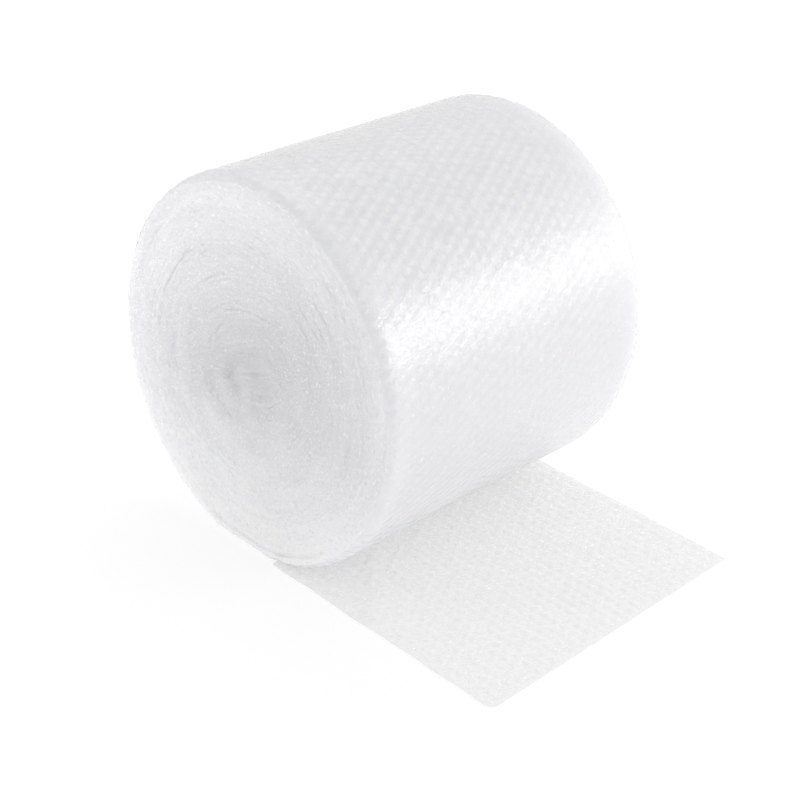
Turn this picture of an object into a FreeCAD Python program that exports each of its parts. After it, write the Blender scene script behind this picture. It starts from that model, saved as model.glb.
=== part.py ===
# Roll of clear bubble film with its loose end laid out on the floor, in millimetres.
# X runs along the roll, the loose end lies towards -Y and the floor is z = 0.
import FreeCAD, Part
import math
import os

import Sketcher
from FreeCAD import Vector

# Driving sizes
SIZES = {
    # the web
    "web_width": 300.0,
    "film_thickness": 4.0,
    "tail_reach": 282.0,
    # rows of bubbles on the tail, drawn as ridges
    "row_count": 31,
    "row_gap": 3.2,
    "gap_floor": 1.2,
    "base_film": 0.6,
    "ridge_stop": 58.0,
    # the wound roll, an oval that leans towards the tail and is pressed flat on the floor
    "oval_long": 344.0,
    "oval_short": 328.5,
    "oval_lean": 19.0,
    "flat_spot": 70.0,
    # the turns that show on both ends
    "rim_band": 6.5,
    "turn_band": 7.5,
    "turn_step": 1.8,
    # the collapsed eye in the middle
    "eye_length": 60.0,
    "eye_height": 15.0,
    "eye_tilt": 22.0,
    "eye_depth": 9.0,
    "eye_land": 4.0,
}

doc = FreeCAD.newDocument("bubble_film_roll")
sheet = doc.addObject("Spreadsheet::Sheet", "Sizes")
for row, (alias, value) in enumerate(SIZES.items(), start=1):
    sheet.set("A%d" % row, alias)
    sheet.set("B%d" % row, str(value))
    sheet.setAlias("B%d" % row, alias)
doc.recompute()


def size(alias):
    return float(sheet.get(alias))


# The oval has four arcs that join at 45 degrees to its axes, so both radii follow from its two lengths.
SHIFT = "((Sizes.oval_long - Sizes.oval_short) / 2 / (2 - sqrt(2)))"
END_RADIUS = "(Sizes.oval_long / 2 - %s)" % SHIFT
SIDE_RADIUS = "(Sizes.oval_short / 2 + %s)" % SHIFT
# Height of the lower arc's centre, at which the floor cuts off a chord as wide as the flat spot.
LOW_CENTRE = "sqrt(%s ^ 2 - (Sizes.flat_spot / 2) ^ 2)" % END_RADIUS
LEAN_SIN = "sin(Sizes.oval_lean * 1 deg)"
LEAN_COS = "cos(Sizes.oval_lean * 1 deg)"

shift = (size("oval_long") - size("oval_short")) / 2 / (2 - math.sqrt(2))
end_radius = size("oval_long") / 2 - shift
side_radius = size("oval_short") / 2 + shift
low_centre_height = math.sqrt(end_radius**2 - (size("flat_spot") / 2) ** 2)
lean = math.radians(size("oval_lean"))

long_axis = Vector(-math.sin(lean), math.cos(lean), 0)
short_axis = Vector(math.cos(lean), math.sin(lean), 0)
low_centre = Vector(shift * math.sin(lean), low_centre_height, 0)
roll_centre = low_centre + long_axis * shift
high_centre = roll_centre + long_axis * shift
back_centre = roll_centre - short_axis * shift
front_centre = roll_centre + short_axis * shift


def polar(centre, radius, angle):
    return centre + Vector(math.cos(angle), math.sin(angle), 0) * radius


def arc(centre, radius, start, end):
    circle = Part.Circle(centre, Vector(0, 0, 1), radius)
    return Part.ArcOfCircle(circle, start, end)


def plane_of(body, role):
    return next(feature for feature in body.Origin.OriginFeatures if feature.Role == role)


def dimension(sketch, name, constraint, expression):
    index = sketch.addConstraint(constraint)
    sketch.renameConstraint(index, name)
    sketch.setExpression("Constraints." + name, expression)


# The wound film: the section of the roll and its tail, drawn across the roll
body = doc.addObject("PartDesign::Body", "WoundFilm")
section = body.newObject("Sketcher::SketchObject", "Section")
section.AttachmentSupport = (plane_of(body, "YZ_Plane"), [""])
section.MapMode = "FlatFace"

lower_back = lean - math.pi / 4
upper_back = lean + math.pi / 4
upper_front = lean + 3 * math.pi / 4
lower_front = lean + 5 * math.pi / 4
floor_angle = -math.acos(size("flat_spot") / 2 / end_radius)
contact_angle = math.pi + math.asin((low_centre_height - size("film_thickness")) / end_radius)

floor_end = polar(low_centre, end_radius, floor_angle)
contact = polar(low_centre, end_radius, contact_angle)
tail_bottom = Vector(-size("tail_reach"), 0, 0)
tail_top = Vector(-size("tail_reach"), size("film_thickness"), 0)

heel, back, crown, front, toe = section.addGeometry(
    [
        arc(low_centre, end_radius, floor_angle, lower_back),
        arc(back_centre, side_radius, lower_back, upper_back),
        arc(high_centre, end_radius, upper_back, upper_front),
        arc(front_centre, side_radius, upper_front, lower_front),
        arc(low_centre, end_radius, lower_front, contact_angle),
    ]
)
tail_face, cut_end, underside = section.addGeometry(
    [
        Part.LineSegment(contact, tail_top),
        Part.LineSegment(tail_top, tail_bottom),
        Part.LineSegment(tail_bottom, floor_end),
    ]
)
START, END, CENTRE, ORIGIN = 1, 2, 3, -1
for first, second in [(heel, back), (back, crown), (crown, front), (front, toe)]:
    section.addConstraint(Sketcher.Constraint("Tangent", first, END, second, START))
for first, second in [(toe, tail_face), (tail_face, cut_end), (cut_end, underside)]:
    section.addConstraint(Sketcher.Constraint("Coincident", first, END, second, START))
section.addConstraint(Sketcher.Constraint("Coincident", underside, END, heel, START))
section.addConstraint(Sketcher.Constraint("Coincident", heel, CENTRE, toe, CENTRE))
section.addConstraint(Sketcher.Constraint("Equal", heel, crown))
section.addConstraint(Sketcher.Constraint("Equal", heel, toe))
section.addConstraint(Sketcher.Constraint("Equal", back, front))
section.addConstraint(Sketcher.Constraint("Horizontal", tail_face))
section.addConstraint(Sketcher.Constraint("Vertical", cut_end))
section.addConstraint(Sketcher.Constraint("PointOnObject", underside, START, ORIGIN))
section.addConstraint(Sketcher.Constraint("PointOnObject", underside, END, ORIGIN))
dimension(section, "end_radius", Sketcher.Constraint("Radius", heel, end_radius), END_RADIUS)
dimension(section, "side_radius", Sketcher.Constraint("Radius", back, side_radius), SIDE_RADIUS)
dimension(
    section,
    "low_centre_along",
    Sketcher.Constraint("DistanceX", ORIGIN, START, heel, CENTRE, low_centre.x),
    "%s * %s" % (SHIFT, LEAN_SIN),
)
dimension(
    section,
    "crown_along",
    Sketcher.Constraint("DistanceX", crown, CENTRE, heel, CENTRE, low_centre.x - high_centre.x),
    "2 * %s * %s" % (SHIFT, LEAN_SIN),
)
dimension(
    section,
    "crown_up",
    Sketcher.Constraint("DistanceY", heel, CENTRE, crown, CENTRE, high_centre.y - low_centre.y),
    "2 * %s * %s" % (SHIFT, LEAN_COS),
)
dimension(
    section,
    "low_centre_up",
    Sketcher.Constraint("DistanceY", ORIGIN, START, heel, CENTRE, low_centre.y),
    LOW_CENTRE,
)
dimension(
    section,
    "film_thickness",
    Sketcher.Constraint("DistanceY", cut_end, END, cut_end, START, size("film_thickness")),
    "Sizes.film_thickness",
)
dimension(
    section,
    "tail_reach",
    Sketcher.Constraint("DistanceX", cut_end, END, ORIGIN, START, size("tail_reach")),
    "Sizes.tail_reach",
)
doc.recompute()

web = body.newObject("PartDesign::Pad", "Web")
web.Profile = section
web.SideType = "Symmetric"
web.setExpression("Length", "Sizes.web_width")
section.Visibility = False
doc.recompute()
web_volume = body.Shape.Volume

# The eye: a tilted slot with round ends, sunk into the +X end and mirrored to the other
eye = body.newObject("Sketcher::SketchObject", "Eye")
eye.AttachmentSupport = (plane_of(body, "YZ_Plane"), [""])
eye.MapMode = "FlatFace"
eye.setExpression("AttachmentOffset.Base.z", "Sizes.web_width / 2")
doc.recompute()

tilt = math.pi - math.radians(size("eye_tilt"))
eye_axis = Vector(math.cos(tilt), math.sin(tilt), 0)
eye_normal = Vector(-math.sin(tilt), math.cos(tilt), 0)
eye_radius = size("eye_height") / 2
eye_reach = (size("eye_length") - size("eye_height")) / 2
far_centre = roll_centre + eye_axis * eye_reach
near_centre = roll_centre - eye_axis * eye_reach

far_arc, near_arc = eye.addGeometry(
    [
        arc(far_centre, eye_radius, tilt - math.pi / 2, tilt + math.pi / 2),
        arc(near_centre, eye_radius, tilt + math.pi / 2, tilt + 3 * math.pi / 2),
    ]
)
upper_wall, lower_wall = eye.addGeometry(
    [
        Part.LineSegment(far_centre + eye_normal * eye_radius, near_centre + eye_normal * eye_radius),
        Part.LineSegment(near_centre - eye_normal * eye_radius, far_centre - eye_normal * eye_radius),
    ]
)
(middle,) = eye.addGeometry([Part.LineSegment(near_centre, far_centre)], True)
eye.addConstraint(Sketcher.Constraint("Tangent", far_arc, END, upper_wall, START))
eye.addConstraint(Sketcher.Constraint("Tangent", upper_wall, END, near_arc, START))
eye.addConstraint(Sketcher.Constraint("Tangent", near_arc, END, lower_wall, START))
eye.addConstraint(Sketcher.Constraint("Tangent", lower_wall, END, far_arc, START))
eye.addConstraint(Sketcher.Constraint("Coincident", middle, START, near_arc, CENTRE))
eye.addConstraint(Sketcher.Constraint("Coincident", middle, END, far_arc, CENTRE))
dimension(eye, "eye_radius", Sketcher.Constraint("Radius", far_arc, eye_radius), "Sizes.eye_height / 2")
dimension(
    eye,
    "eye_reach",
    Sketcher.Constraint("Distance", middle, 2 * eye_reach),
    "Sizes.eye_length - Sizes.eye_height",
)
dimension(
    eye,
    "eye_tilt",
    Sketcher.Constraint("Angle", middle, tilt),
    "180 deg - Sizes.eye_tilt * 1 deg",
)
dimension(
    eye,
    "eye_along",
    Sketcher.Constraint("DistanceX", ORIGIN, START, near_arc, CENTRE, near_centre.x),
    "(Sizes.eye_length - Sizes.eye_height) / 2 * cos(Sizes.eye_tilt * 1 deg)",
)
dimension(
    eye,
    "eye_up",
    Sketcher.Constraint("DistanceY", ORIGIN, START, near_arc, CENTRE, near_centre.y),
    "%s + %s * %s - (Sizes.eye_length - Sizes.eye_height) / 2 * sin(Sizes.eye_tilt * 1 deg)"
    % (LOW_CENTRE, SHIFT, LEAN_COS),
)
doc.recompute()

eye_pocket = body.newObject("PartDesign::Pocket", "EyePocket")
eye_pocket.Profile = eye
eye_pocket.setExpression("Length", "Sizes.eye_depth")
eye.Visibility = False
doc.recompute()
one_eye_volume = web_volume - body.Shape.Volume

both_eyes = body.newObject("PartDesign::Mirrored", "BothEyes")
both_eyes.Originals = [eye_pocket]
both_eyes.MirrorPlane = (plane_of(body, "YZ_Plane"), [""])
body.Tip = both_eyes
doc.recompute()
both_eyes_volume = web_volume - body.Shape.Volume

# The tail's bubbles stand in rows along the web: a channel between two rows, then its pattern across the web
channel = body.newObject("Sketcher::SketchObject", "Channel")
channel.AttachmentSupport = (plane_of(body, "XZ_Plane"), [""])
channel.MapMode = "FlatFace"
channel.setExpression("AttachmentOffset.Base.z", "Sizes.tail_reach")
doc.recompute()

row_step = size("web_width") / size("row_count")
first_gap = -size("web_width") / 2 + row_step
half_top = size("row_gap") / 2
half_floor = size("gap_floor") / 2
floor_left = Vector(first_gap - half_floor, size("base_film"), 0)
floor_right = Vector(first_gap + half_floor, size("base_film"), 0)
top_right = Vector(first_gap + half_top, size("film_thickness"), 0)
top_left = Vector(first_gap - half_top, size("film_thickness"), 0)
channel_floor, right_wall, mouth, left_wall = channel.addGeometry(
    [
        Part.LineSegment(floor_left, floor_right),
        Part.LineSegment(floor_right, top_right),
        Part.LineSegment(top_right, top_left),
        Part.LineSegment(top_left, floor_left),
    ]
)
for first, second in [(channel_floor, right_wall), (right_wall, mouth), (mouth, left_wall), (left_wall, channel_floor)]:
    channel.addConstraint(Sketcher.Constraint("Coincident", first, END, second, START))
channel.addConstraint(Sketcher.Constraint("Horizontal", channel_floor))
channel.addConstraint(Sketcher.Constraint("Horizontal", mouth))
channel.addConstraint(Sketcher.Constraint("Equal", right_wall, left_wall))
dimension(
    channel,
    "gap_floor",
    Sketcher.Constraint("DistanceX", channel_floor, START, channel_floor, END, 2 * half_floor),
    "Sizes.gap_floor",
)
dimension(
    channel,
    "row_gap",
    Sketcher.Constraint("DistanceX", mouth, END, mouth, START, 2 * half_top),
    "Sizes.row_gap",
)
dimension(
    channel,
    "base_film",
    Sketcher.Constraint("DistanceY", ORIGIN, START, channel_floor, START, size("base_film")),
    "Sizes.base_film",
)
dimension(
    channel,
    "channel_top",
    Sketcher.Constraint("DistanceY", ORIGIN, START, mouth, START, size("film_thickness")),
    "Sizes.film_thickness",
)
dimension(
    channel,
    "first_gap",
    Sketcher.Constraint("DistanceX", channel_floor, START, ORIGIN, START, half_floor - first_gap),
    "Sizes.web_width / 2 - Sizes.web_width / Sizes.row_count + Sizes.gap_floor / 2",
)
doc.recompute()

channel_cut = body.newObject("PartDesign::Pocket", "ChannelCut")
channel_cut.Profile = channel
channel_cut.setExpression("Length", "Sizes.tail_reach - Sizes.ridge_stop")
channel.Visibility = False
body.Tip = channel_cut
doc.recompute()
one_channel_volume = web_volume - both_eyes_volume - body.Shape.Volume

bubble_rows = body.newObject("PartDesign::LinearPattern", "BubbleRows")
bubble_rows.Originals = [channel_cut]
x_axis = next(feature for feature in body.Origin.OriginFeatures if feature.Role == "X_Axis")
bubble_rows.Direction = (x_axis, [""])
bubble_rows.Occurrences = int(size("row_count")) - 1
bubble_rows.setExpression("Length", "Sizes.web_width - 2 * Sizes.web_width / Sizes.row_count")
body.Tip = bubble_rows
doc.recompute()
channels_volume = web_volume - both_eyes_volume - body.Shape.Volume


# The turns: a spiral band of every second turn, set back at both ends
quarter_drop = 2 * size("turn_band") / 4
wound_depth = end_radius - size("rim_band") - size("turn_band") - size("eye_length") / 2 - size("eye_land")
quarter_count = int(wound_depth / quarter_drop)


def spiral_band(inset):
    # quarter arcs, tangent to each other, wind inwards from the heel and stop short of the eye
    radii = [end_radius, side_radius]
    centre = low_centre
    edges = []
    joint_angle = lower_front
    for quarter in range(quarter_count):
        drop = size("rim_band") + inset + quarter * quarter_drop
        radius = radii[quarter % 2] - drop
        next_radius = radii[(quarter + 1) % 2] - drop - quarter_drop
        next_angle = joint_angle + math.pi / 2
        edges.append(
            Part.Arc(
                across(polar(centre, radius, joint_angle)),
                across(polar(centre, radius, joint_angle + math.pi / 4)),
                across(polar(centre, radius, next_angle)),
            ).toShape()
        )
        outward = Vector(math.cos(next_angle), math.sin(next_angle), 0)
        centre = centre + outward * (radius - next_radius)
        joint_angle = next_angle
    return edges


def across(point):
    # from the plane of the section to the model's own frame
    return Vector(0, point.x, point.y)


def ends_of(edges):
    return edges[0].valueAt(edges[0].FirstParameter), edges[-1].valueAt(edges[-1].LastParameter)


outer_edges = spiral_band(0)
inner_edges = spiral_band(size("turn_band"))
outer_start, outer_end = ends_of(outer_edges)
inner_start, inner_end = ends_of(inner_edges)
start_cap = Part.LineSegment(inner_start, outer_start).toShape()
end_cap = Part.LineSegment(outer_end, inner_end).toShape()
band_wire = Part.Wire(Part.__sortEdges__(outer_edges + [end_cap] + inner_edges + [start_cap]))
band_face = Part.Face(band_wire)

OVERCUT = 2.0
half_width = size("web_width") / 2
cut_length = size("turn_step") + OVERCUT
near_band = band_face.translated(Vector(-half_width - OVERCUT, 0, 0)).extrude(Vector(cut_length, 0, 0))
far_band = band_face.translated(Vector(half_width + OVERCUT, 0, 0)).extrude(Vector(-cut_length, 0, 0))
turns = doc.addObject("Part::Feature", "Turns")
turns.Shape = Part.makeCompound([near_band, far_band])

roll = doc.addObject("Part::Cut", "Roll")
roll.Base = body
roll.Tool = turns
roll.Label = "bubble_film"
doc.recompute()

# Checks, then one file for each node
for item in doc.Objects:
    if "Invalid" in item.State or "Error" in item.State:
        raise RuntimeError("%s failed: %s" % (item.Name, item.State))
for item in (body, turns, roll):
    if item.Shape.isNull() or not item.Shape.isValid():
        raise RuntimeError("%s has no valid shape" % item.Name)
if not one_eye_volume > 0 or abs(both_eyes_volume - 2 * one_eye_volume) > 1e-3 * one_eye_volume:
    raise RuntimeError("the eye is not cut into both ends")
channel_total = (size("row_count") - 1) * one_channel_volume
if not one_channel_volume > 0 or abs(channels_volume - channel_total) > 1e-3 * channel_total:
    raise RuntimeError("the channels between the rows are not all cut")
if len(roll.Shape.Solids) != 1:
    raise RuntimeError("the wound film is not one solid")

os.makedirs("parts", exist_ok=True)
for node in (roll,):
    node.Shape.exportStep("parts/%s.step" % node.Label)
    box = node.Shape.BoundBox
    print(node.Label, "volume %.0f mm3" % node.Shape.Volume, "box", box)
print("quarter turns", quarter_count)
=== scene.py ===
import math

import bmesh
import bpy
import numpy as np
from mathutils import Matrix, Vector, noise


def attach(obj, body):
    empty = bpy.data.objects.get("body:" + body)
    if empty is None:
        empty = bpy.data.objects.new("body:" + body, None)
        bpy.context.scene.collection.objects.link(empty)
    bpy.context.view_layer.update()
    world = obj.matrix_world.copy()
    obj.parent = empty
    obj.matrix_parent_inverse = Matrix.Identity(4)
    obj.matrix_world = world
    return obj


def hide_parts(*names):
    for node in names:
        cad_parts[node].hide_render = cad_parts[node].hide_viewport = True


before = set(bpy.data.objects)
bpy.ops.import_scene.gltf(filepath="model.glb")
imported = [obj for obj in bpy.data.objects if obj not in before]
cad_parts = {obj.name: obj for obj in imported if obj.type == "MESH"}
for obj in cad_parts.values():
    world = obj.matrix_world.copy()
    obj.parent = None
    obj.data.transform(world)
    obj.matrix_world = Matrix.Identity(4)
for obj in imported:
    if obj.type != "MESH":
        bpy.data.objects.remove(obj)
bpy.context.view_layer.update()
print("frame loaded")

# The wound film, in metres: x runs along the roll, and the loose end lies towards -y
roll = {
    "width": 0.300,
    "ovalLong": 0.344,
    "ovalShort": 0.3285,
    "lean": math.radians(19),
    "flatSpot": 0.070,
    "filmThickness": 0.004,
    "tailReach": 0.282,
    "leavesFloor": -0.022,  # in front of this y the roll climbs on to its own loose end
    "onTail": -0.040,
}
halfWidth = roll["width"] / 2
fullTurn = 2 * math.pi

# Bubbles stand in staggered rows that run round the roll
bubble = {
    "rows": 31,
    "pitch": 0.01064,
    "baseRadius": 0.0047,
    "weld": 0.00002,  # points closer together than this become one
}
rowStep = roll["width"] / bubble["rows"]

# What wanders in shape or tone, each with its own number, so that no two wander alike
wanderSeeds = {
    "turnLumps": 1,
    "turnKinks": 2,
    "turnSlips": 3,
    "bubbleFullness": 4,
    "outerSlack": 5,
    "rimCrinkle": 6,
    "rimWaver": 7,
    "looseFullness": 8,
    "looseSides": 9,
    "bubbleTone": 10,
}
wanderShift = (17.3, 5.1, 9.7)


# Selecting, reading and writing meshes
def pick(piece):
    bpy.ops.object.select_all(action="DESELECT")
    piece.select_set(True)
    bpy.context.view_layer.objects.active = piece


def editMode(selectMode="VERT", selected="DESELECT"):
    bpy.ops.object.mode_set(mode="EDIT")
    bpy.ops.mesh.select_mode(type=selectMode)
    bpy.ops.mesh.select_all(action=selected)


def objectMode():
    bpy.ops.object.mode_set(mode="OBJECT")


def selectBoundary():
    bpy.ops.mesh.select_mode(type="EDGE")
    bpy.ops.mesh.select_all(action="DESELECT")
    bpy.ops.mesh.select_non_manifold(
        extend=False, use_wire=False, use_multi_face=False, use_non_contiguous=False, use_verts=False
    )


def selectOpenEdges(piece, keep):
    # goes into edit mode with the open edges selected whose ends pass the test
    pick(piece)
    bpy.ops.object.mode_set(mode="EDIT")
    selectBoundary()
    mesh = bmesh.from_edit_mesh(piece.data)
    for edge in mesh.edges:
        if edge.select and not all(keep(vertex.co) for vertex in edge.verts):
            edge.select_set(False)
    mesh.select_flush_mode()
    bmesh.update_edit_mesh(piece.data)


def readPoints(piece):
    points = np.empty(len(piece.data.vertices) * 3)
    piece.data.vertices.foreach_get("co", points)
    return points.reshape(-1, 3)


def writePoints(piece, points):
    piece.data.vertices.foreach_set("co", points.ravel())
    piece.data.update()


def storeValue(piece, name, values):
    attribute = piece.data.attributes.new(name, "FLOAT", "POINT")
    attribute.data.foreach_set("value", np.clip(values, 0, 1))


def copyPiece(piece):
    double = piece.copy()
    double.data = piece.data.copy()
    bpy.context.collection.objects.link(double)
    return double


def mergeDoubles(piece, distance):
    pick(piece)
    editMode(selected="SELECT")
    bpy.ops.mesh.remove_doubles(threshold=distance)
    bpy.ops.mesh.select_all(action="DESELECT")
    objectMode()


def outwardNormals(piece):
    pick(piece)
    editMode(selected="SELECT")
    bpy.ops.mesh.normals_make_consistent(inside=False)
    bpy.ops.mesh.select_all(action="DESELECT")
    objectMode()


def finishPiece(piece, name, smoothAngle=60):
    piece.name = name
    piece.data.name = name
    pick(piece)
    bpy.ops.object.transform_apply(location=True, rotation=True, scale=True)
    bpy.ops.object.shade_smooth_by_angle(angle=math.radians(smoothAngle))
    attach(piece, "root")
    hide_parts("bubble_film")
    print(name, "made,", sum(len(face.vertices) - 2 for face in piece.data.polygons), "triangles")


# Section of the roll: four arcs that join at 45 degrees to the oval's axes
arcShift = (roll["ovalLong"] - roll["ovalShort"]) / 2 / (2 - math.sqrt(2))
endRadius = roll["ovalLong"] / 2 - arcShift
sideRadius = roll["ovalShort"] / 2 + arcShift
lowHeight = math.sqrt(endRadius**2 - (roll["flatSpot"] / 2) ** 2)
lowCentre = np.array([arcShift * math.sin(roll["lean"]), lowHeight])
longAxis = np.array([-math.sin(roll["lean"]), math.cos(roll["lean"])])
shortAxis = np.array([math.cos(roll["lean"]), math.sin(roll["lean"])])
rollCentre = lowCentre + longAxis * arcShift
arcCentres = np.array([
    rollCentre - shortAxis * arcShift,
    rollCentre + longAxis * arcShift,
    rollCentre + shortAxis * arcShift,
    lowCentre,
])
arcRadii = np.array([sideRadius, endRadius, sideRadius, endRadius])


def ovalPoints(angles, inset=0.0):
    # points of the oval by the direction of its normal, set in by a depth
    quarter = np.floor((angles - roll["lean"] + math.pi / 4) / (math.pi / 2)).astype(int) % 4
    normals = np.stack([np.cos(angles), np.sin(angles)], -1)
    return arcCentres[quarter] + normals * (arcRadii[quarter] - inset)[..., None]


def smoothStep(start, end, values):
    # from 0 at the start to 1 at the end, which may be the lower of the two
    share = np.clip((values - start) / (end - start), 0, 1)
    return share * share * (3 - 2 * share)


def floorLevel(y):
    # the roll rests on the floor behind and on its own loose end in front
    return roll["filmThickness"] * smoothStep(roll["leavesFloor"], roll["onTail"], y)


def wander(what, size, points):
    # smooth noise around zero, one value for each point
    shift = Vector([wanderSeeds[what] * step for step in wanderShift])
    return np.array([noise.noise(Vector(point) / size + shift) for point in points])


# Clear film, milky where many turns lie together
film = {
    "scatter": 0.030,  # how far light runs inside the wound film
    "scatterTint": (1, 1, 1.1),
    "ior": 1.5,
    "coatRoughness": 0.12,
    "grainDetail": 3,
    # painted glints, white where a crinkle catches the light, with a painted shadow beside them
    "glintDetail": 2,
    "glintEdge": 0.06,
    "paintedGlintWhite": (1.0, 1.0, 1.0),
    "paintedGlintShadowColour": (0.62, 0.62, 0.65),
    "paintedGlintShadowStrength": 0.6,  # how strong the dark side is beside the bright one
}


def newMaterial(name):
    material = bpy.data.materials.new(name)
    material.use_nodes = True
    nodes = material.node_tree.nodes
    nodes.clear()
    return material, nodes, material.node_tree.links


def objectCoords(nodes):
    return nodes.new("ShaderNodeTexCoord").outputs["Object"]


def storedValue(nodes, name):
    attribute = nodes.new("ShaderNodeAttribute")
    attribute.attribute_name = name
    return attribute.outputs["Fac"]


def addNoise(nodes, links, source, scale, detail, stretch=(1, 1, 1)):
    mapping = nodes.new("ShaderNodeMapping")
    mapping.inputs["Scale"].default_value = stretch
    links.new(source, mapping.inputs["Vector"])
    texture = nodes.new("ShaderNodeTexNoise")
    texture.inputs["Scale"].default_value = scale
    texture.inputs["Detail"].default_value = detail
    links.new(mapping.outputs["Vector"], texture.inputs["Vector"])
    return texture.outputs["Fac"]


def addRamp(nodes, links, source, stops):
    ramp = nodes.new("ShaderNodeValToRGB")
    while len(ramp.color_ramp.elements) < len(stops):
        ramp.color_ramp.elements.new(0.5)
    for element, (position, colour) in zip(ramp.color_ramp.elements, stops):
        element.position = position
        element.color = (*colour, 1)
    links.new(source, ramp.inputs["Fac"])
    return ramp.outputs["Color"]


def addBump(nodes, links, height, bump, under=None):
    # bump is its height in metres and its strength
    relief = nodes.new("ShaderNodeBump")
    relief.inputs["Distance"].default_value, relief.inputs["Strength"].default_value = bump
    links.new(height, relief.inputs["Height"])
    if under is not None:
        links.new(under, relief.inputs["Normal"])
    return relief.outputs["Normal"]


def addVectorMath(nodes, links, operation, source):
    step = nodes.new("ShaderNodeVectorMath")
    step.operation = operation
    links.new(source, step.inputs[0])
    return step


def mixColours(nodes, links, share, first, second):
    mix = nodes.new("ShaderNodeMix")
    mix.data_type = "RGBA"
    # sockets 0, 6 and 7 are the factor and the two colours
    if isinstance(share, float):
        mix.inputs[0].default_value = share
    else:
        links.new(share, mix.inputs[0])
    for socket, colour in ((mix.inputs[6], first), (mix.inputs[7], second)):
        if isinstance(colour, tuple):
            socket.default_value = (*colour, 1)
        else:
            links.new(colour, socket)
    return mix.outputs[2]


def addPaintedGlints(nodes, links, coords, colour, paintedGlints):
    # painted glints: bright specks where a crinkle catches the light, with a thin painted shadow on one side
    scale, rarity, strength = paintedGlints
    edge = film["glintEdge"]
    shadow = strength * film["paintedGlintShadowStrength"]
    grain = addNoise(nodes, links, coords, scale, film["glintDetail"])
    bright = addRamp(nodes, links, grain, [(rarity, (0, 0, 0)), (rarity + edge, (strength,) * 3)])
    dark = addRamp(nodes, links, grain, [(1 - edge - rarity, (shadow,) * 3), (1 - rarity, (0, 0, 0))])
    colour = mixColours(nodes, links, bright, colour, film["paintedGlintWhite"])
    return mixColours(nodes, links, dark, colour, film["paintedGlintShadowColour"])


def roundCoords(nodes, links, around, deep):
    # coordinates that run round the roll's axis, so that a pattern stretches along the turns
    centred = nodes.new("ShaderNodeMapping")
    centred.inputs["Location"].default_value = (0, -rollCentre[0], -rollCentre[1])
    centred.inputs["Scale"].default_value = (0, 1, 1)
    links.new(objectCoords(nodes), centred.inputs["Vector"])
    length = addVectorMath(nodes, links, "LENGTH", centred.outputs["Vector"])
    direction = addVectorMath(nodes, links, "NORMALIZE", centred.outputs["Vector"])
    spread = addVectorMath(nodes, links, "SCALE", direction.outputs["Vector"])
    spread.inputs["Scale"].default_value = around
    inward = nodes.new("ShaderNodeMath")
    inward.operation = "MULTIPLY"
    inward.inputs[1].default_value = deep
    links.new(length.outputs["Value"], inward.inputs[0])
    split = nodes.new("ShaderNodeSeparateXYZ")
    links.new(spread.outputs["Vector"], split.inputs["Vector"])
    joined = nodes.new("ShaderNodeCombineXYZ")
    links.new(inward.outputs["Value"], joined.inputs["X"])
    links.new(split.outputs["Y"], joined.inputs["Y"])
    links.new(split.outputs["Z"], joined.inputs["Z"])
    return joined.outputs["Vector"]


def filmShader(nodes, roughness, scatter=0.0):
    shader = nodes.new("ShaderNodeBsdfPrincipled")
    shader.inputs["Roughness"].default_value = roughness
    shader.inputs["IOR"].default_value = film["ior"]
    shader.inputs["Coat Weight"].default_value = 1
    shader.inputs["Coat Roughness"].default_value = film["coatRoughness"]
    shader.inputs["Coat IOR"].default_value = film["ior"]
    if scatter:
        shader.inputs["Subsurface Weight"].default_value = 1
        shader.inputs["Subsurface Radius"].default_value = film["scatterTint"]
        shader.inputs["Subsurface Scale"].default_value = scatter
    return shader


def joinShader(nodes, links, shader, colour, normal):
    links.new(colour, shader.inputs["Base Color"])
    links.new(normal, shader.inputs["Normal"])
    links.new(normal, shader.inputs["Coat Normal"])
    output = nodes.new("ShaderNodeOutputMaterial")
    links.new(shader.outputs["BSDF"], output.inputs["Surface"])


# Looks of the outermost turn: greys from between the bubbles up to painted highlights on their crests
outerLook = {
    "bubbles": [
        (0.0, (0.795, 0.795, 0.825)),
        (0.5, (0.86, 0.86, 0.88)),
        (1.0, (0.935, 0.935, 0.945)),
    ],
    "clouds": [(0.35, (0.82, 0.82, 0.845)), (0.65, (0.91, 0.91, 0.925))],
    "cloudScale": 150,
    "cloudDetail": 4,
    "cloudShare": 0.4,
    # painted light near the far end
    "farEndPaintedLight": (0.85, 0.85, 0.865),
    # painted shade on the lower part of the side
    "lowPaintedLighting": (0.765, 0.765, 0.785),
    # painted shade near the near end
    "nearRimPaintedShade": (0.82, 0.82, 0.845),
    # painted glints where crinkles catch the light
    "paintedGlints": (400, 0.65, 0.6),  # scale, rarity and strength
    "crinkleScale": 520,
    "crinkleBump": (0.0006, 0.6),  # metres high, and strength
    "rippleScale": 130,
    "rippleBump": (0.0010, 0.55),
    "roughness": 0.35,
}


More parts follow.
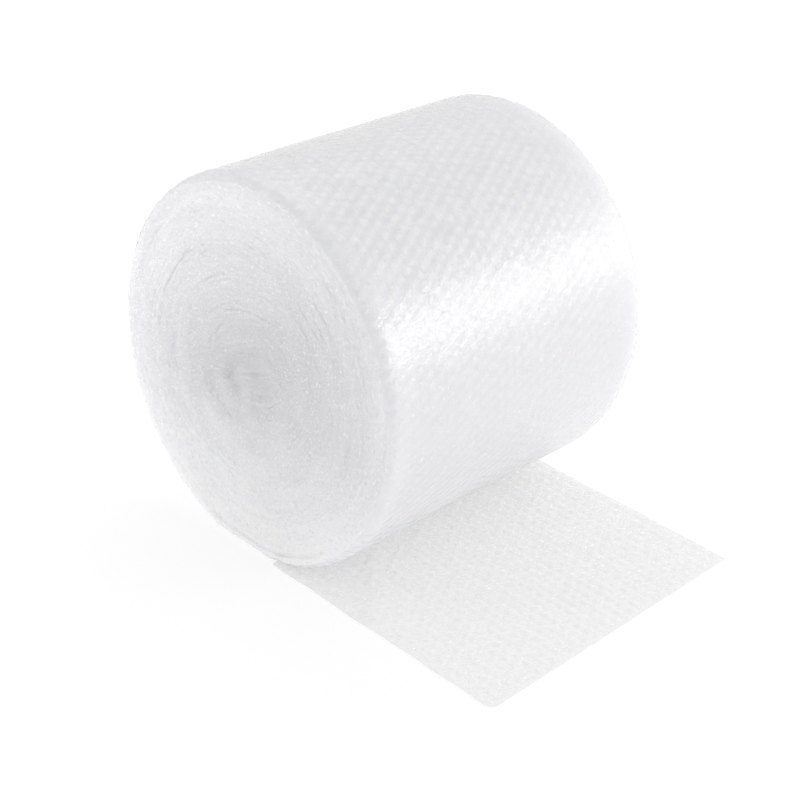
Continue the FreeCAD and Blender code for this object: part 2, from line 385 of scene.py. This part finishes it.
def outerFilmMaterial():
    material, nodes, links = newMaterial("outerFilm")
    coords = objectCoords(nodes)
    # the bubbles' own greys, with painted highlights on their crests and along their rows
    colour = addRamp(nodes, links, storedValue(nodes, "dome"), outerLook["bubbles"])
    # turns below show through here and there
    cloud = addNoise(nodes, links, coords, outerLook["cloudScale"], outerLook["cloudDetail"])
    cloud = addRamp(nodes, links, cloud, outerLook["clouds"])
    colour = mixColours(nodes, links, outerLook["cloudShare"], colour, cloud)
    # painted light makes the far end paler and plainer, painted shade darkens the lower part of the side,
    # and painted shade darkens the near rim
    for name in ("farEndPaintedLight", "lowPaintedLighting", "nearRimPaintedShade"):
        colour = mixColours(nodes, links, storedValue(nodes, name), colour, outerLook[name])
    colour = addPaintedGlints(nodes, links, coords, colour, outerLook["paintedGlints"])
    crinkle = addNoise(nodes, links, coords, outerLook["crinkleScale"], film["grainDetail"])
    ripple = addNoise(nodes, links, coords, outerLook["rippleScale"], film["grainDetail"])
    normal = addBump(nodes, links, ripple, outerLook["rippleBump"])
    normal = addBump(nodes, links, crinkle, outerLook["crinkleBump"], normal)
    shader = filmShader(nodes, outerLook["roughness"], film["scatter"])
    joinShader(nodes, links, shader, colour, normal)
    return material


# Looks of the turns' edges on both ends, from the rim to the middle, with painted shade towards the middle
# and at the outermost ring, and painted light low down
edgeLook = {
    # painted shade: darker at the outermost ring and most of all towards the middle, round the eye
    "depthPaintedShade": [
        (0.0, (0.73, 0.73, 0.75)),
        (0.10, (0.83, 0.83, 0.85)),
        (0.55, (0.725, 0.725, 0.745)),
        (0.85, (0.65, 0.65, 0.67)),
    ],
    # painted light low down
    "lowPaintedLighting": (0.94, 0.94, 0.95),
    "streaks": [(0.32, (0.70, 0.70, 0.72)), (0.5, (0.86, 0.86, 0.88)), (0.68, (0.97, 0.97, 0.98))],
    "streakShare": 0.13,
    "streakCoords": (38, 480),  # grains to a radian round the axis, and to a metre inwards
    "streakBump": (0.0010, 0.4),
    # painted glints where crinkles catch the light, stretched along the turns
    "paintedGlints": (1.2, 0.605, 0.6),
    "paintedGlintCoords": (26, 430),
    "crinkleScale": 520,
    "crinkleBump": (0.0008, 0.8),
    "roughness": 0.32,
}


def turnEdgeMaterial():
    material, nodes, links = newMaterial("turnEdges")
    coords = objectCoords(nodes)
    # painted shade towards the middle and at the outermost ring
    colour = addRamp(nodes, links, storedValue(nodes, "depth"), edgeLook["depthPaintedShade"])
    # painted light low down on the ends, as from the floor below
    colour = mixColours(nodes, links, storedValue(nodes, "lowPaintedLighting"), colour, edgeLook["lowPaintedLighting"])
    streakCoords = roundCoords(nodes, links, *edgeLook["streakCoords"])
    streaks = addNoise(nodes, links, streakCoords, 1.0, film["grainDetail"])
    shade = addRamp(nodes, links, streaks, edgeLook["streaks"])
    colour = mixColours(nodes, links, edgeLook["streakShare"], colour, shade)
    paintedGlintCoords = roundCoords(nodes, links, *edgeLook["paintedGlintCoords"])
    colour = addPaintedGlints(nodes, links, paintedGlintCoords, colour, edgeLook["paintedGlints"])
    crinkle = addNoise(nodes, links, coords, edgeLook["crinkleScale"], film["grainDetail"])
    normal = addBump(nodes, links, streaks, edgeLook["streakBump"])
    normal = addBump(nodes, links, crinkle, edgeLook["crinkleBump"], normal)
    shader = filmShader(nodes, edgeLook["roughness"], film["scatter"])
    joinShader(nodes, links, shader, colour, normal)
    return material


# Looks of the single sheet: clear, with a little haze
looseLook = {
    "colour": (0.95, 0.95, 0.95),
    "haze": [(0.0, (0.33,) * 3), (0.25, (0.28,) * 3), (1.0, (0.31,) * 3)],
    "patches": [(0.38, (0.26,) * 3), (0.62, (0.36,) * 3)],
    "patchShare": 0.35,
    # painted glints where crinkles catch the light
    "paintedGlints": (460, 0.62, 0.6),
    "creaseScale": 380,
    "creaseDetail": 4,
    "creaseStretch": (1.0, 0.7, 1.0),
    "creaseBump": (0.0008, 0.3),
    "crinkleScale": 480,
    "crinkleBump": (0.0006, 0.4),
    "roughness": 0.25,
}


def looseFilmMaterial():
    material, nodes, links = newMaterial("looseFilm")
    coords = objectCoords(nodes)
    crinkle = addNoise(nodes, links, coords, looseLook["crinkleScale"], film["grainDetail"])
    creaseScale, creaseDetail = looseLook["creaseScale"], looseLook["creaseDetail"]
    crease = addNoise(nodes, links, coords, creaseScale, creaseDetail, looseLook["creaseStretch"])
    haze = addRamp(nodes, links, storedValue(nodes, "dome"), looseLook["haze"])
    patches = addRamp(nodes, links, crease, looseLook["patches"])
    haze = mixColours(nodes, links, looseLook["patchShare"], haze, patches)
    normal = addBump(nodes, links, crease, looseLook["creaseBump"])
    normal = addBump(nodes, links, crinkle, looseLook["crinkleBump"], normal)
    colour = addPaintedGlints(nodes, links, coords, looseLook["colour"], looseLook["paintedGlints"])
    shader = filmShader(nodes, looseLook["roughness"])
    links.new(haze, shader.inputs["Alpha"])
    joinShader(nodes, links, shader, colour, normal)
    return material


# A single bubble on its share of film, made once and repeated
def bubbleTile(sides, rings, capShape=(1, 1, 1), capTurn=0.0):
    bpy.ops.object.select_all(action="DESELECT")
    bpy.ops.mesh.primitive_circle_add(vertices=sides, radius=bubble["baseRadius"], fill_type="NGON")
    tile = bpy.context.object
    editMode("FACE", "SELECT")
    for inward, upward in rings[:-1]:
        bpy.ops.mesh.inset(thickness=inward, depth=upward, use_boundary=True)
    # the inner ring is stretched along a slanting line, and each corner keeps its place
    bpy.ops.transform.rotate(value=-capTurn, orient_axis="Z", center_override=(0, 0, 0))
    bpy.ops.transform.resize(value=capShape, center_override=(0, 0, 0))
    bpy.ops.transform.rotate(value=capTurn, orient_axis="Z", center_override=(0, 0, 0))
    bpy.ops.mesh.poke(offset=rings[-1][1])
    selectBoundary()
    bpy.ops.mesh.extrude_region_move()
    objectMode()
    # the extruded ring goes out to the sides of a rectangle
    for vertex in tile.data.vertices:
        if vertex.select:
            corner = round(math.atan2(vertex.co.y, vertex.co.x) / fullTurn * sides) % sides
            acrossStep, rowShare = rectangleStep(8 * corner / sides)
            vertex.co.x = acrossStep * bubble["pitch"] / 2
            vertex.co.y = rowShare * rowStep / 2
    return tile


def rectangleStep(eighths):
    # the place on a rectangle's outline, as shares of its half sides, by eighths of the way round
    ring = [(1, 0), (1, 1), (0, 1), (-1, 1), (-1, 0), (-1, -1), (0, -1), (1, -1), (1, 0)]
    whole = int(eighths)
    share = eighths - whole
    return tuple(a * (1 - share) + b * share for a, b in zip(ring[whole], ring[whole + 1]))


def repeatTile(piece, count, offset):
    pick(piece)
    array = piece.modifiers.new("repeat", "ARRAY")
    array.use_relative_offset = False
    array.use_constant_offset = True
    array.constant_offset_displace = offset
    array.count = count
    array.use_merge_vertices = True
    array.merge_threshold = bubble["weld"]
    bpy.ops.object.modifier_apply(modifier=array.name)


# The outermost turn: flat film outside, drawn into shallow swellings over its bubbles
outerTurn = {
    "rings": [(0.0019, 0.00020), (0, 0.00006)],  # each ring's step inwards and step up
    "capShape": (1.55, 0.36, 1),
    "capTurn": math.radians(61),
    "samples": 1440,
    "weld": 0.00005,
    "rimReach": 0.013,  # how far from the end the rim starts to round off
    "rimDrop": 0.0042,
    "rimShort": 0.0015,
    "pressedUnder": 0.012,  # below this height over the floor the bubbles are pressed flat
    # each pair is how much, and over what length
    "fullness": (1.1, 0.009),
    "slack": (0.0005, 0.045),
    "rimCrinkle": (0.0011, 0.006),
    "rimWaver": (0.0012, 0.006),
}


def sectionLine():
    # the outline once round from under the roll: points, outward normals and length so far
    angles = np.linspace(-math.pi / 2, 1.5 * math.pi, outerTurn["samples"] + 1)
    line = ovalPoints(angles)
    line[:, 1] = np.maximum(line[:, 1], floorLevel(line[:, 0]))
    line[-1] = line[0]
    steps = np.linalg.norm(np.diff(line, axis=0), axis=1)
    length = np.concatenate([[0], np.cumsum(steps)])
    ahead = np.roll(line[:-1], -1, axis=0) - np.roll(line[:-1], 1, axis=0)
    normals = np.stack([ahead[:, 1], -ahead[:, 0]], 1)
    normals /= np.linalg.norm(normals, axis=1)[:, None]
    normals = np.concatenate([normals, normals[:1]])
    return line, normals, length


def windOuter(points, columns):
    # flat tiles go round the section: their x follows the outline, and their y runs along the roll
    line, normals, length = sectionLine()
    share = (points[:, 0] / (bubble["pitch"] * columns)) % 1.0
    along = share * length[-1]
    place = np.stack([np.interp(along, length, line[:, i]) for i in (0, 1)], 1)
    normal = np.stack([np.interp(along, length, normals[:, i]) for i in (0, 1)], 1)
    shorten = 1 - 2 * outerTurn["rimShort"] / roll["width"]
    across = (points[:, 1] - halfWidth + rowStep / 2) * shorten
    # under the roll the bubbles are pressed flat, and the rims round off
    free = smoothStep(0, outerTurn["pressedUnder"], place[:, 1] - floorLevel(place[:, 0]))
    fromRim = halfWidth - outerTurn["rimShort"] - np.abs(across)
    toRim = np.clip(1 - fromRim / outerTurn["rimReach"], 0, 1)
    drop = outerTurn["rimDrop"] * (1 - np.sqrt(1 - toRim**2))
    # no bubble is as full as the next, and the film at the rims is crinkled
    at = np.column_stack([across, place])
    fullness, fullnessSize = outerTurn["fullness"]
    slack, slackSize = outerTurn["slack"]
    crinkle, crinkleSize = outerTurn["rimCrinkle"]
    waver, waverSize = outerTurn["rimWaver"]
    swelling = points[:, 2] * free * (1 + fullness * wander("bubbleFullness", fullnessSize, at))
    loose = slack * wander("outerSlack", slackSize, at) * free
    loose = loose + crinkle * wander("rimCrinkle", crinkleSize, at) * toRim
    place = place + normal * (swelling + loose - drop)[:, None]
    across = across + waver * wander("rimWaver", waverSize, at) * toRim**2
    return np.column_stack([np.clip(across, -halfWidth, halfWidth), place])


# Tones stored on the outermost turn: where its bubbles show and how strongly, with painted highlights, and
# painted light and shade near the ends and low down
outerTone = {
    # the paler rows and the crests are partly painted highlight
    "gaps": 0.15,
    "rows": 0.50,
    "crestPaintedHighlights": 0.32,
    "crestFrom": (0.60, 0.85),  # shares of a bubble's height
    "unevenness": 0.6,
    "unevenSize": 0.010,
    # painted light near the far end
    "farEndPaintedLight": 0.85,
    "plainFrom": (0.075, 0.006),  # distances from the far end
    # painted shade on the lower part of the side, fading out towards the very bottom
    "lowPaintedLighting": 0.7,
    "lowFrom": (0.28, 0.17),  # heights over the floor
    "lowTo": (0.04, 0.13),
    # painted shade near the near end
    "nearRimPaintedShade": 0.6,
    "rimFrom": (0.030, 0.004),  # distances from the near end
}


def storeOuterTones(piece, flat, wound):
    # a painted highlight on the crest of every bubble, and a paler line from one to the next along the
    # slanting rows, partly the bubbles showing through and partly painted highlight
    crestPaintedHighlights = smoothStep(*outerTone["crestFrom"], flat[:, 2] / flat[:, 2].max())
    rows = 0.5 + 0.5 * np.cos(fullTurn * (flat[:, 0] / bubble["pitch"] + flat[:, 1] / rowStep / 2))
    dome = outerTone["gaps"] + outerTone["rows"] * rows + outerTone["crestPaintedHighlights"] * crestPaintedHighlights
    dome = dome + outerTone["unevenness"] * wander("bubbleTone", outerTone["unevenSize"], wound)
    storeValue(piece, "dome", dome)
    # painted light near the far end, painted shade on the lower part of the side and painted shade near the
    # near rim
    x, height = wound[:, 0], wound[:, 2]
    lowPaintedLighting = smoothStep(*outerTone["lowFrom"], height) * smoothStep(*outerTone["lowTo"], height)
    storeValue(piece, "farEndPaintedLight", outerTone["farEndPaintedLight"] * smoothStep(*outerTone["plainFrom"], halfWidth - x))
    storeValue(piece, "lowPaintedLighting", outerTone["lowPaintedLighting"] * lowPaintedLighting)
    storeValue(piece, "nearRimPaintedShade", outerTone["nearRimPaintedShade"] * smoothStep(*outerTone["rimFrom"], halfWidth + x))


def makeOuterTurn():
    columns = round(sectionLine()[2][-1] / bubble["pitch"])
    piece = bubbleTile(8, outerTurn["rings"], outerTurn["capShape"], outerTurn["capTurn"])
    repeatTile(piece, columns, (bubble["pitch"], 0, 0))
    repeatTile(piece, bubble["rows"], (bubble["pitch"] / 2, rowStep, 0))
    flat = readPoints(piece)
    wound = windOuter(flat, columns)
    storeOuterTones(piece, flat, wound)
    writePoints(piece, wound)
    mergeDoubles(piece, outerTurn["weld"])
    return piece


# The turns inside: their edges show on both ends
turns = {
    "count": 48,
    "columns": 176,
    "rowsPerTurn": 2,
    "valleys": [0.0, 0.0006],  # how far each row of a turn stands back
    "jitter": 0.0004,
    "slips": 0.0008,
    "lumps": 0.0028,
    "kinks": 0.0007,
    # each pair is how quickly they change round the axis, and from turn to turn
    "slipPace": (1.4, 1.3),
    "lumpPace": (2.2, 0.16),
    "kinkPace": (9, 0.9),
    "roundAgain": (0.06, 0.9),  # shares of the way in between which turns are out of round
    "restSlope": 0.6,  # how quickly the turns come free of the flat spot
    "dish": 0.003,
    "dishFrom": (0.50, 0.95),
    "pocket": 0.0036,
    "pocketFrom": (0.84, 0.985),
    "pocketWander": 0.03,
    "seed": 5,
}

# The slit in the middle where the web starts
eye = {
    "rows": 5,
    "halfLong": 0.024,
    "halfWide": 0.0026,
    "tilt": math.radians(158),
    "depth": 0.0012,
    "narrowing": 0.7,
}

# Low down in front the outermost turn hangs a little loose
looseTurn = {
    "gap": 0.003,
    "depthIn": 0.0055,
    "spread": 0.0013,
    "direction": math.radians(262),
    "reach": (0.60, 0.35),  # radians to each side
}

# Tones stored on the ends: painted light low down, and the wander of the depth that sets the painted shade
endTone = {
    "depthWander": 0.10,
    "lowPaintedLighting": 0.85,
    "lowFrom": (0.165, 0.020),
    "lowWander": 0.02,
}


def onTurns(angle, wound, pace):
    # points for noise that follow the turns
    around, inwards = pace
    return np.column_stack([np.cos(angle) * around, np.sin(angle) * around, wound * inwards])


def eyeLine(angle, inEye):
    narrow = 1 - eye["narrowing"] * inEye
    reachX = np.cos(angle - eye["tilt"]) * eye["halfLong"] * narrow
    reachY = np.sin(angle - eye["tilt"]) * eye["halfWide"] * narrow
    tiltCos, tiltSin = math.cos(eye["tilt"]), math.sin(eye["tilt"])
    turned = np.stack([reachX * tiltCos - reachY * tiltSin, reachX * tiltSin + reachY * tiltCos], 1)
    return rollCentre + turned


def makeTurnEdges():
    columns, perTurn = turns["columns"], turns["rowsPerTurn"]
    rows = (turns["count"] + 1) * perTurn + eye["rows"]
    bpy.ops.object.select_all(action="DESELECT")
    bpy.ops.mesh.primitive_grid_add(x_subdivisions=columns, y_subdivisions=rows, size=1)
    piece = bpy.context.object
    flat = readPoints(piece)
    column = np.rint((flat[:, 0] + 0.5) * columns).astype(int)
    row = np.rint((flat[:, 1] + 0.5) * rows).astype(int)
    # the grid is wound from the rim inwards, from the oval to the slit of the eye
    angle = -math.pi / 2 + column / columns * 2 * math.pi
    wound = np.clip(row / perTurn - 1 + column / columns, 0, turns["count"])
    share = wound / turns["count"]
    inEye = np.clip(1 - (rows - row) / eye["rows"], 0, 1)
    setIn = outerTurn["rimDrop"] + outerTurn["rimShort"]
    place = ovalPoints(angle, setIn) * (1 - share)[:, None] + eyeLine(angle, inEye) * share[:, None]
    # no turn is quite round
    outOfRound, roundEnd = turns["roundAgain"]
    inner = smoothStep(0.0, outOfRound, share) * smoothStep(1.0, roundEnd, share)
    lumps = wander("turnLumps", 1.0, onTurns(angle, wound, turns["lumpPace"]))
    kinks = wander("turnKinks", 1.0, onTurns(angle, wound, turns["kinkPace"]))
    outward = place - rollCentre
    outward /= np.maximum(np.linalg.norm(outward, axis=1), 1e-6)[:, None]
    place = place + outward * ((lumps * turns["lumps"] + kinks * turns["kinks"]) * inner)[:, None]
    depthIn = share * roll["ovalShort"] / 2
    lowest = floorLevel(place[:, 0]) + setIn + depthIn * turns["restSlope"]
    place[:, 1] = np.maximum(place[:, 1], lowest)
    # how far each point stands back from the end
    valley = np.array(turns["valleys"])[row % perTurn]
    random = np.random.RandomState(turns["seed"])
    chance = random.uniform(-1, 1, (rows + perTurn + 1, columns))
    jitter = chance[row + perTurn * (column == columns), column % columns] * turns["jitter"]
    slips = wander("turnSlips", 1.0, onTurns(angle, wound, turns["slipPace"])) * turns["slips"]
    depth = np.maximum((valley + jitter + slips) * inner, 0)
    depth = depth + turns["dish"] * smoothStep(*turns["dishFrom"], share)
    depth = depth + turns["pocket"] * smoothStep(*turns["pocketFrom"], share + turns["pocketWander"] * lumps)
    depth = depth + eye["depth"] * inEye
    fromFront = np.abs((angle - looseTurn["direction"] + math.pi) % (2 * math.pi) - math.pi)
    hangs = np.exp(-(((depthIn - looseTurn["depthIn"]) / looseTurn["spread"]) ** 2))
    depth = depth + looseTurn["gap"] * hangs * smoothStep(*looseTurn["reach"], fromFront)
    depth[share <= 0] = 0
    writePoints(piece, np.column_stack([depth - halfWidth, place]))
    # painted light low down on the ends
    lowPaintedLighting = smoothStep(*endTone["lowFrom"], place[:, 1] + endTone["lowWander"] * lumps)
    # how far in each point lies, which sets the painted shade towards the middle
    storeValue(piece, "depth", share + endTone["depthWander"] * lumps)
    storeValue(piece, "lowPaintedLighting", endTone["lowPaintedLighting"] * lowPaintedLighting)
    mergeDoubles(piece, bubble["weld"])
    # the eye ends blind
    selectOpenEdges(piece, lambda point: point.x > turns["pocket"] - halfWidth)
    bpy.ops.mesh.edge_face_add()
    objectMode()
    return piece


def makeWoundRoll(outerMaterial, edgeMaterial):
    nearEnd = makeTurnEdges()
    farEnd = copyPiece(nearEnd)
    writePoints(farEnd, readPoints(farEnd) * np.array([-1, 1, 1]))
    surface = makeOuterTurn()
    for part, material in ((surface, outerMaterial), (nearEnd, edgeMaterial), (farEnd, edgeMaterial)):
        part.data.materials.append(material)
    pick(surface)
    nearEnd.select_set(True)
    farEnd.select_set(True)
    bpy.ops.object.join()
    for side in (-1, 1):
        selectOpenEdges(surface, lambda point: point.x * side > 0)
        bpy.ops.mesh.bridge_edge_loops()
        objectMode()
    outwardNormals(surface)
    return surface


# The loose end: bubbles up, lying on the floor
looseEnd = {
    "sides": 16,
    "rings": [(0.0010, 0.0007), (0.0010, 0.0006), (0.0012, 0.0003), (0, 0.0001)],
    "film": 0.0004,
    "cutThrough": 0.3,  # the cut runs through the bubbles, this share of a pitch from their middles
    "hiddenFrom": -0.030,  # its other end is under the roll
    "corner": 0.007,
    "seed": 11,
    "cutFullness": 0.25,  # what is left of a cut bubble's height
    "cutSides": (0.001, 0.007),  # distances from the side edges, and from the cut end
    "cutEnd": (0.001, 0.008),
    "fullness": 0.85,
    "fullnessWander": (1.1, 0.011),
    "fullnessLimits": (0.2, 1.3),
    "dents": 0.10,
    "sideWaver": (0.0022, 0.030),
    "waverReach": 0.030,
    "bubbleHeight": 0.0017,
}


def layBubbles():
    columns = math.ceil((roll["tailReach"] + looseEnd["hiddenFrom"]) / bubble["pitch"]) + 2
    piece = bubbleTile(looseEnd["sides"], looseEnd["rings"])
    repeatTile(piece, columns, (bubble["pitch"], 0, 0))
    pick(piece)
    # a second row, half a bubble on, then the pair repeats across the web
    second = copyPiece(piece)
    writePoints(second, readPoints(second) + np.array([bubble["pitch"] / 2, rowStep, 0]))
    second.select_set(True)
    bpy.ops.object.join()
    mergeDoubles(piece, bubble["weld"])
    repeatTile(piece, (bubble["rows"] + 1) // 2, (0, 2 * rowStep, 0))
    mergeDoubles(piece, bubble["weld"])
    # to its place: x across the web, the cut end at the reach of the tail
    flat = readPoints(piece)
    placed = np.column_stack([
        flat[:, 1] - halfWidth + rowStep / 2,
        -roll["tailReach"] - bubble["pitch"] * looseEnd["cutThrough"] + flat[:, 0],
        flat[:, 2] + looseEnd["film"],
    ])
    writePoints(piece, placed)
    outwardNormals(piece)
    return piece


def cutStraight(piece):
    # on all four sides
    pick(piece)
    cuts = [
        ((halfWidth, 0, 0), (1, 0, 0)),
        ((-halfWidth, 0, 0), (-1, 0, 0)),
        ((0, -roll["tailReach"], 0), (0, -1, 0)),
        ((0, looseEnd["hiddenFrom"], 0), (0, 1, 0)),
    ]
    for place, direction in cuts:
        editMode(selected="SELECT")
        bpy.ops.mesh.bisect(plane_co=place, plane_no=direction, clear_outer=True, threshold=0.00001)
        objectMode()


def wearLooseEnd(piece):
    points = readPoints(piece)
    edgeX = halfWidth - np.abs(points[:, 0])
    edgeY = points[:, 1] + roll["tailReach"]
    # cut bubbles have gone flat, and each bubble is a little out of shape
    uncut = np.minimum(smoothStep(*looseEnd["cutSides"], edgeX), smoothStep(*looseEnd["cutEnd"], edgeY))
    full = looseEnd["cutFullness"] + (1 - looseEnd["cutFullness"]) * uncut
    amount, size = looseEnd["fullnessWander"]
    uneven = looseEnd["fullness"] + amount * wander("looseFullness", size, points)
    random = np.random.RandomState(looseEnd["seed"])
    height = (points[:, 2] - looseEnd["film"]) * full * np.clip(uneven, *looseEnd["fullnessLimits"])
    height = height * (1 + random.uniform(-looseEnd["dents"], looseEnd["dents"], len(points)))
    points[:, 2] = looseEnd["film"] + height
    # the cut has worn round at the near corner and wanders a little along the sides
    inward = looseEnd["corner"] - np.stack([points[:, 0] + halfWidth, edgeY], 1)
    reach = np.linalg.norm(np.clip(inward, 0, None), axis=1)
    worn = (inward > 0).all(1) & (reach > looseEnd["corner"])
    points[worn, :2] += (inward * (1 - looseEnd["corner"] / np.maximum(reach, 1e-9))[:, None])[worn]
    amount, size = looseEnd["sideWaver"]
    sideWaver = amount * wander("looseSides", size, points * np.array([0, 1, 0]))
    points[:, 0] += sideWaver * smoothStep(looseEnd["waverReach"], 0.0, edgeX)
    writePoints(piece, points)


def makeLooseEnd():
    piece = layBubbles()
    cutStraight(piece)
    wearLooseEnd(piece)
    # down to the floor and closed underneath
    editMode()
    selectBoundary()
    bpy.ops.mesh.extrude_region_move()
    objectMode()
    points = readPoints(piece)
    lower = np.array([vertex.select for vertex in piece.data.vertices])
    points[lower, 2] = 0
    writePoints(piece, points)
    storeValue(piece, "dome", (points[:, 2] - looseEnd["film"]) / looseEnd["bubbleHeight"])
    bpy.ops.object.mode_set(mode="EDIT")
    selectBoundary()
    bpy.ops.mesh.edge_face_add()
    objectMode()
    outwardNormals(piece)
    return piece


woundRoll = makeWoundRoll(outerFilmMaterial(), turnEdgeMaterial())
finishPiece(woundRoll, "wound_roll")

tail = makeLooseEnd()
tail.data.materials.append(looseFilmMaterial())
finishPiece(tail, "loose_end")


# Camera, fitted to the outline of the roll and its loose end
camera = {
    "yaw": math.radians(46.182),
    "pitch": math.radians(29.601),
    "roll": math.radians(2.879),
    "distance": 1.457901,
    "focalPixels": 1686.293,
    "imagePixels": 800,
    "aim": Vector((0, 0, 0.160)),
    "aimPixels": (-18.641, 68.754),  # where the aim lies, right of and above the middle of the picture
    "sensor": 36,
    "clipEnd": 60,
}


def makeCamera():
    yaw, pitch, tilt = camera["yaw"], camera["pitch"], camera["roll"]
    forward = Vector((math.sin(yaw) * math.cos(pitch), math.cos(yaw) * math.cos(pitch), -math.sin(pitch)))
    level = Vector((math.cos(yaw), -math.sin(yaw), 0))
    upright = level.cross(forward)
    right = level * math.cos(tilt) + upright * math.sin(tilt)
    up = -level * math.sin(tilt) + upright * math.cos(tilt)
    metresPerPixel = camera["distance"] / camera["focalPixels"]
    aimRight, aimUp = camera["aimPixels"]
    place = camera["aim"] - forward * camera["distance"]
    place = place - right * (aimRight * metresPerPixel) - up * (aimUp * metresPerPixel)
    bpy.ops.object.camera_add()
    view = bpy.context.object
    view.name = "camera"
    view.matrix_world = Matrix.Translation(place) @ Matrix((right, up, -forward)).transposed().to_4x4()
    view.data.sensor_width = camera["sensor"]
    view.data.lens = camera["sensor"] * camera["focalPixels"] / camera["imagePixels"]
    view.data.clip_end = camera["clipEnd"]
    bpy.context.scene.camera = view


makeCamera()
print("camera placed")

# Studio: a white floor lit partly from below, soft boxes and an even white surround
studio = {
    "floorSize": 30,
    "floorDrop": 0.0004,
    # whiteness of the floor's paint, and its glow near the roll and far from it
    "floorToObject": (0.60, 0.50, 0.50),
    "floorToEye": (0.42, 0.655, 0.77),
    "glowReach": (0.4, 1.1),
    "dimSide": (-0.50, -0.65, -0.35),
    "surroundFront": 0.60,
    "surroundBehind": 1.11,
    "lampAim": Vector((0, 0, 0.15)),
    # direction from the aim, distance, width and height, and power in watts
    "lamps": {
        "sideBox": ((0.58, -0.775, 0.277), 2.2, (1.7, 0.75), 8.5),
        "backBox": ((-0.75, 0.45, 0.50), 2.2, (0.8, 0.8), 1.5),
        "nearBox": ((-0.66, 0.64, -0.06), 0.60, (0.4, 0.16), 0.28),
        "glintBox": ((0.50, -0.82, 0.29), 2.2, (0.45, 0.5), 2.9),
        "topBox": ((0.25, 0.45, 0.85), 2.0, (1.0, 1.0), 2.2),
        "farBox": ((0.80, -0.45, 0.40), 0.95, (0.5, 0.5), 0.3),
    },
}


def seenDirectly(nodes, links):
    # 1 for what the eye sees, also through the film, and 0 for light that falls on the object
    path = nodes.new("ShaderNodeLightPath")
    seen = nodes.new("ShaderNodeMath")
    seen.operation = "MAXIMUM"
    links.new(path.outputs["Is Camera Ray"], seen.inputs[0])
    links.new(path.outputs["Is Transmission Ray"], seen.inputs[1])
    return seen.outputs["Value"]


def floorCoat(nodes, links, white, nearGlow, farGlow):
    # a white sheet lit partly from below, as on a light table, and more so away from the lamps
    away = addVectorMath(nodes, links, "LENGTH", objectCoords(nodes))
    glowing = nodes.new("ShaderNodeMapRange")
    glowing.inputs["From Min"].default_value, glowing.inputs["From Max"].default_value = studio["glowReach"]
    glowing.inputs["To Min"].default_value = nearGlow
    glowing.inputs["To Max"].default_value = farGlow
    links.new(away.outputs["Value"], glowing.inputs["Value"])
    matt = nodes.new("ShaderNodeBsdfDiffuse")
    matt.inputs["Color"].default_value = (white, white, white, 1)
    glow = nodes.new("ShaderNodeEmission")
    links.new(glowing.outputs["Result"], glow.inputs["Strength"])
    both = nodes.new("ShaderNodeAddShader")
    links.new(matt.outputs["BSDF"], both.inputs[0])
    links.new(glow.outputs["Emission"], both.inputs[1])
    return both.outputs["Shader"]


def makeFloor():
    bpy.ops.object.select_all(action="DESELECT")
    bpy.ops.mesh.primitive_plane_add(size=studio["floorSize"], location=(0, 0, -studio["floorDrop"]))
    floor = bpy.context.object
    floor.name = "floor"
    material, nodes, links = newMaterial("floorWhite")
    mix = nodes.new("ShaderNodeMixShader")
    links.new(seenDirectly(nodes, links), mix.inputs["Fac"])
    links.new(floorCoat(nodes, links, *studio["floorToObject"]), mix.inputs[1])
    links.new(floorCoat(nodes, links, *studio["floorToEye"]), mix.inputs[2])
    output = nodes.new("ShaderNodeOutputMaterial")
    links.new(mix.outputs["Shader"], output.inputs["Surface"])
    floor.data.materials.append(material)


def makeSurround():
    world = bpy.data.worlds.new("surround")
    bpy.context.scene.world = world
    world.use_nodes = True
    nodes, links = world.node_tree.nodes, world.node_tree.links
    nodes.clear()
    # white to the eye, and for the object brightest from behind and above
    coords = nodes.new("ShaderNodeTexCoord")
    facing = addVectorMath(nodes, links, "DOT_PRODUCT", coords.outputs["Generated"])
    facing.inputs[1].default_value = studio["dimSide"]
    shade = nodes.new("ShaderNodeMapRange")
    shade.inputs["From Min"].default_value = -1
    shade.inputs["To Min"].default_value = studio["surroundBehind"]
    shade.inputs["To Max"].default_value = studio["surroundFront"]
    links.new(facing.outputs["Value"], shade.inputs["Value"])
    strength = nodes.new("ShaderNodeMix")
    strength.inputs["B"].default_value = 1.0
    links.new(seenDirectly(nodes, links), strength.inputs["Factor"])
    links.new(shade.outputs["Result"], strength.inputs["A"])
    background = nodes.new("ShaderNodeBackground")
    links.new(strength.outputs["Result"], background.inputs["Strength"])
    output = nodes.new("ShaderNodeOutputWorld")
    links.new(background.outputs["Background"], output.inputs["Surface"])


def makeLamp(name, direction, distance, size, watts):
    bpy.ops.object.light_add(type="AREA")
    lamp = bpy.context.object
    lamp.name = name
    away = Vector(direction).normalized()
    lamp.location = studio["lampAim"] + away * distance
    lamp.rotation_euler = away.to_track_quat("Z", "Y").to_euler()
    lamp.data.shape = "RECTANGLE"
    lamp.data.size, lamp.data.size_y = size
    lamp.data.energy = watts


makeFloor()
makeSurround()
for name, settings in studio["lamps"].items():
    makeLamp(name, *settings)
print("studio lit")

scene = bpy.context.scene
scene.view_settings.view_transform = "Standard"
